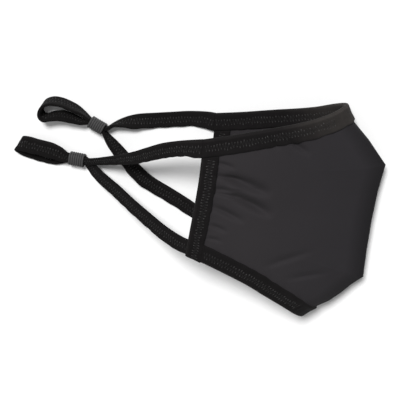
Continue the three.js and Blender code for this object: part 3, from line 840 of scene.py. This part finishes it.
class MaskColours(bpy.types.PropertyGroup):
    cloth: colour_property("Cloth", "Colour of the two panels", (0.0262, 0.0238, 0.0258))
    # painted shade: the panels are darkened toward the nose with this colour
    nose_shade: colour_property("Nose shade", "Colour of the panels at the nose", (0.0208, 0.0192, 0.0217))
    elastic: colour_property("Elastic", "Colour of the edge bindings", (0.0115, 0.0102, 0.0105))
    # painted highlight: the binding is lightened and browned toward the nose with this colour
    nose_highlight: colour_property("Nose highlight", "Colour of the binding at the nose", (0.043, 0.0385, 0.036))
    strap: colour_property("Strap", "Colour of the ear straps", (0.0088, 0.0079, 0.008))
    thread: colour_property("Thread", "Colour of the stitching", (0.066, 0.064, 0.064))
    rubber: colour_property("Rubber", "Colour of the sliders", (0.0445, 0.0438, 0.0445))


class MaskStudio(bpy.types.PropertyGroup):
    key: bpy.props.FloatProperty(
        name="Key", description="Strength of the main light", default=3.5, min=0,
    )
    key_size: bpy.props.FloatProperty(
        name="Key size", description="Angle over which the main light spreads",
        default=math.radians(17), subtype="ANGLE",
    )
    fill: bpy.props.FloatProperty(
        name="Fill", description="Strength of the light from all round", default=0.37, min=0,
    )
    distance: size_property("Distance", "From the camera to the mask", 0.722)
    lens: bpy.props.FloatProperty(
        name="Lens", description="Focal length of the camera", default=100, unit="CAMERA",
    )


# ---------------------------------------------------------------- operators
class FACE_MASK_OT_panels(bpy.types.Operator):
    """Make the two cloth side panels that meet at the centre seam"""

    bl_idname = "face_mask.panels"
    bl_label = "Side panels"

    def execute(self, context):
        sizes = context.scene.mask_sizes
        colours = context.scene.mask_colours
        material = panel_cloth("panel_knit", colours.cloth, colours.nose_shade, sizes.weave)
        for name, side, across, down in (
            ("right_panel", 1, 170, 190), ("left_panel", -1, 110, 120),
        ):
            rings, grain = panel_rings(side, sizes, across, down)
            piece = new_piece(
                name + "_cloth", rings, swept(rings), grain, material,
            )
            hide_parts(name)
        return {"FINISHED"}


class FACE_MASK_OT_bindings(bpy.types.Operator):
    """Make the folded elastic round the nose, chin and side edges"""

    bl_idname = "face_mask.bindings"
    bl_label = "Edge bindings"

    def execute(self, context):
        colours, rib = context.scene.mask_colours, context.scene.mask_sizes.rib
        # the second colour is a painted highlight on the binding toward the nose
        dye_and_highlight = (colours.elastic, colours.nose_highlight)
        material = folded_elastic("edge_braid", dye_and_highlight, (1, 1, 0.115, 0.168), rib)
        for name, band in (
            ("top_binding", NOSE_BAND),
            ("bottom_binding", CHIN_BAND),
            ("side_binding_right", RIGHT_SIDE_BAND),
            ("side_binding_left", LEFT_SIDE_BAND),
        ):
            rings, grain = band.rings(0.7)
            piece = new_piece(
                name + "_elastic", rings, swept(rings), grain, material,
                cap_count(rings),
            )
            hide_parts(name)
        return {"FINISHED"}


class FACE_MASK_OT_straps(bpy.types.Operator):
    """Make the two folded elastic ear straps"""

    bl_idname = "face_mask.straps"
    bl_label = "Ear straps"

    def execute(self, context):
        colours, rib = context.scene.mask_colours, context.scene.mask_sizes.rib
        dye_and_highlight = (colours.strap, colours.elastic)
        material = folded_elastic("strap_braid", dye_and_highlight, (1, 0, -0.04, 0.012), rib)
        for name, band in (("ear_strap_right", RIGHT_BAND), ("ear_strap_left", LEFT_BAND)):
            rings, grain = band.rings(0.7)
            piece = new_piece(
                name + "_elastic", rings, swept(rings), grain, material,
                cap_count(rings),
            )
            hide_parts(name)
        return {"FINISHED"}


class FACE_MASK_OT_stitching(bpy.types.Operator):
    """Make the zigzag stitching on the bindings and straps, one joined mesh for each band"""

    bl_idname = "face_mask.stitching"
    bl_label = "Stitching"

    def execute(self, context):
        sizes = context.scene.mask_sizes
        material = sewing_thread("sewing_thread", context.scene.mask_colours.thread)
        for name, band, slot, clear in (
            ("top_binding", NOSE_BAND, "edge_elastic", SEAM_CLEAR),
            ("bottom_binding", CHIN_BAND, "edge_elastic", SEAM_CLEAR),
            ("side_binding_right", RIGHT_SIDE_BAND, "edge_elastic", 0),
            ("side_binding_left", LEFT_SIDE_BAND, "edge_elastic", 0),
            ("ear_strap_right", RIGHT_BAND, "strap_elastic", 0),
            ("ear_strap_left", LEFT_BAND, "strap_elastic", 0),
        ):
            lines = np.concatenate([zigzag(band, face, sizes, clear) for face in (1, -1)])
            points, faces = tubes(lines, sizes.thread / MM / 2)
            step = np.arange(len(points)) // THREAD_SIDES % STITCH_STEPS / (STITCH_STEPS - 1)
            # the second weave value runs from a leg's middle to its ends and drives the thread's
            # painted shade and highlight
            weave = np.stack([step * sizes.stitch_width / MM, np.abs(2 * step - 1)], 1)
            new_piece(name + "_stitches", points, faces, weave, material)
        return {"FINISHED"}


def slider_rings(depth):
    """A ribbed rubber tube with rounded oblong sections, about its own middle."""
    steps = RIBS * 10
    x = np.linspace(-0.5, 0.5, steps + 1)
    crest = np.abs(np.sin(np.pi * RIBS * (x + 0.5))) ** 0.6
    angle = 2 * np.pi * (np.arange(SLIDER_POINTS) + 0.5) / SLIDER_POINTS

    def oblong(at, width, height, power):
        c, s = np.cos(angle), np.sin(angle)
        y = np.sign(c) * np.abs(c) ** power * width / 2
        z = np.sign(s) * np.abs(s) ** power * height / 2
        return np.stack([np.full(SLIDER_POINTS, at), y, z], -1)

    rings, height = [], []
    for place, rise in zip(x * SLIDER_LENGTH, crest):
        drop = 2 * depth * (1 - rise)
        rings.append(oblong(place, SLIDER_WIDTH - drop, SLIDER_HEIGHT - drop, 0.7))
        height.append(rise)
    for place in (0.5, 0.46, 0, -0.46, -0.5):
        flare = SLOT_FLARE * (abs(place) == 0.5)
        rings.append(
            oblong(place * SLIDER_LENGTH, SLOT_WIDTH + flare, SLOT_HEIGHT + flare, 0.3)
        )
        height.append(0.3)
    rings = np.array(rings)
    # these heights also set the rubber's painted shade and highlight; the slot rings are painted in
    # shade
    across = np.repeat(np.array(height)[:, None], SLIDER_POINTS, 1)
    along = np.repeat(np.arange(SLIDER_POINTS)[None, :] * 0.4, len(rings), 0)
    return rings, np.stack([along, across], -1)


def turned(roll, heading):
    """Turn by roll about x, then by heading about z, in degrees."""
    a, b = math.radians(heading), math.radians(roll)
    round_x = [[1, 0, 0], [0, math.cos(b), -math.sin(b)], [0, math.sin(b), math.cos(b)]]
    round_z = [[math.cos(a), -math.sin(a), 0], [math.sin(a), math.cos(a), 0], [0, 0, 1]]
    return np.array(round_z) @ np.array(round_x)


class FACE_MASK_OT_sliders(bpy.types.Operator):
    """Make the two ribbed rubber sliders"""

    bl_idname = "face_mask.sliders"
    bl_label = "Sliders"

    def execute(self, context):
        material = moulded_rubber("slider_rubber", context.scene.mask_colours.rubber)
        rings, grain = slider_rings(context.scene.mask_sizes.rib_depth / MM)
        for name, heading, roll in zip(("slider_right", "slider_left"), *SLIDERS.values()):
            low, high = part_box(name)
            middle = np.array((low + high) / 2) / MM - [CENTRE, 0, 0]
            placed = rings @ turned(roll, heading).T + middle
            piece = new_piece(
                name + "_ribbed", placed, swept(placed, looped=True), grain, material,
            )
            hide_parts(name)
        return {"FINISHED"}


class FACE_MASK_OT_stage(bpy.types.Operator):
    """Make the pale floor, the soft studio light and the camera"""

    bl_idname = "face_mask.stage"
    bl_label = "Stage"

    def execute(self, context):
        scene, studio = context.scene, context.scene.mask_studio
        self.floor()
        self.lights(scene, studio)
        self.camera(scene, studio)
        scene.view_settings.view_transform = "Standard"
        return {"FINISHED"}

    def floor(self):
        half = FLOOR_HALF
        mesh = bpy.data.meshes.new("studio_floor")
        corners = [(-half, -half, 0), (half, -half, 0), (half, half, 0), (-half, half, 0)]
        mesh.from_pydata(corners, [], [(0, 1, 2, 3)])
        mesh.materials.append(studio_floor("floor_paint", (0.86, 0.86, 0.86)))
        floor = bpy.data.objects.new("studio_floor", mesh)
        bpy.context.scene.collection.objects.link(floor)

    def lights(self, scene, studio):
        sun = bpy.data.lights.new("key_light", "SUN")
        sun.energy = studio.key
        sun.angle = studio.key_size
        key = bpy.data.objects.new("key_light", sun)
        key.rotation_euler = (math.radians(-33), math.radians(-3), 0)
        scene.collection.objects.link(key)
        world = bpy.data.worlds.new("studio_fill")
        world.use_nodes = True
        world.node_tree.nodes["Background"].inputs["Color"].default_value = (1, 1, 1, 1)
        world.node_tree.nodes["Background"].inputs["Strength"].default_value = studio.fill
        scene.world = world

    def camera(self, scene, studio):
        low, high = PACKED_BOX
        target = (low + high) / 2
        target.x += 0.0062
        target.y += 0.0055
        target.z = 0.02
        back = target.copy()
        back.xyz = (0.1675, 0.335, 0.9272)
        back.normalize()
        lens = bpy.data.cameras.new("camera")
        lens.lens = studio.lens
        lens.sensor_width = 36
        camera = bpy.data.objects.new("camera", lens)
        camera.rotation_mode = "QUATERNION"
        right = back.copy()
        right.xyz = (back.z, 0, -back.x)
        right.normalize()
        up = back.cross(right)
        camera.matrix_world = Matrix.Translation(target + back * studio.distance) @ Matrix(
            (right, up, back)
        ).transposed().to_4x4()
        scene.collection.objects.link(camera)
        scene.camera = camera


class FACE_MASK_PT_sidebar(bpy.types.Panel):
    bl_idname = "FACE_MASK_PT_sidebar"
    bl_label = "Face mask"
    bl_space_type = "VIEW_3D"
    bl_region_type = "UI"
    bl_category = "Face mask"

    def draw(self, context):
        for step in STEPS:
            self.layout.operator(step.bl_idname)
        for name in GROUPS:
            group = getattr(context.scene, name)
            box = self.layout.box()
            for key in group.bl_rna.properties.keys():
                if key not in ("rna_type", "name"):
                    box.prop(group, key)


STEPS = (
    FACE_MASK_OT_panels,
    FACE_MASK_OT_bindings,
    FACE_MASK_OT_straps,
    FACE_MASK_OT_stitching,
    FACE_MASK_OT_sliders,
    FACE_MASK_OT_stage,
)
GROUPS = {"mask_sizes": MaskSizes, "mask_colours": MaskColours, "mask_studio": MaskStudio}


def register():
    for made in (*GROUPS.values(), *STEPS, FACE_MASK_PT_sidebar):
        bpy.utils.register_class(made)
    for name, group in GROUPS.items():
        setattr(bpy.types.Scene, name, bpy.props.PointerProperty(type=group))


def unregister():
    for name in GROUPS:
        delattr(bpy.types.Scene, name)
    for made in (FACE_MASK_PT_sidebar, *reversed(STEPS), *reversed(GROUPS.values())):
        bpy.utils.unregister_class(made)


def main():
    register()
    bpy.ops.face_mask.panels()
    bpy.ops.face_mask.bindings()
    bpy.ops.face_mask.straps()
    bpy.ops.face_mask.stitching()
    bpy.ops.face_mask.sliders()
    bpy.ops.face_mask.stage()


if __name__ == "__main__":
    main()
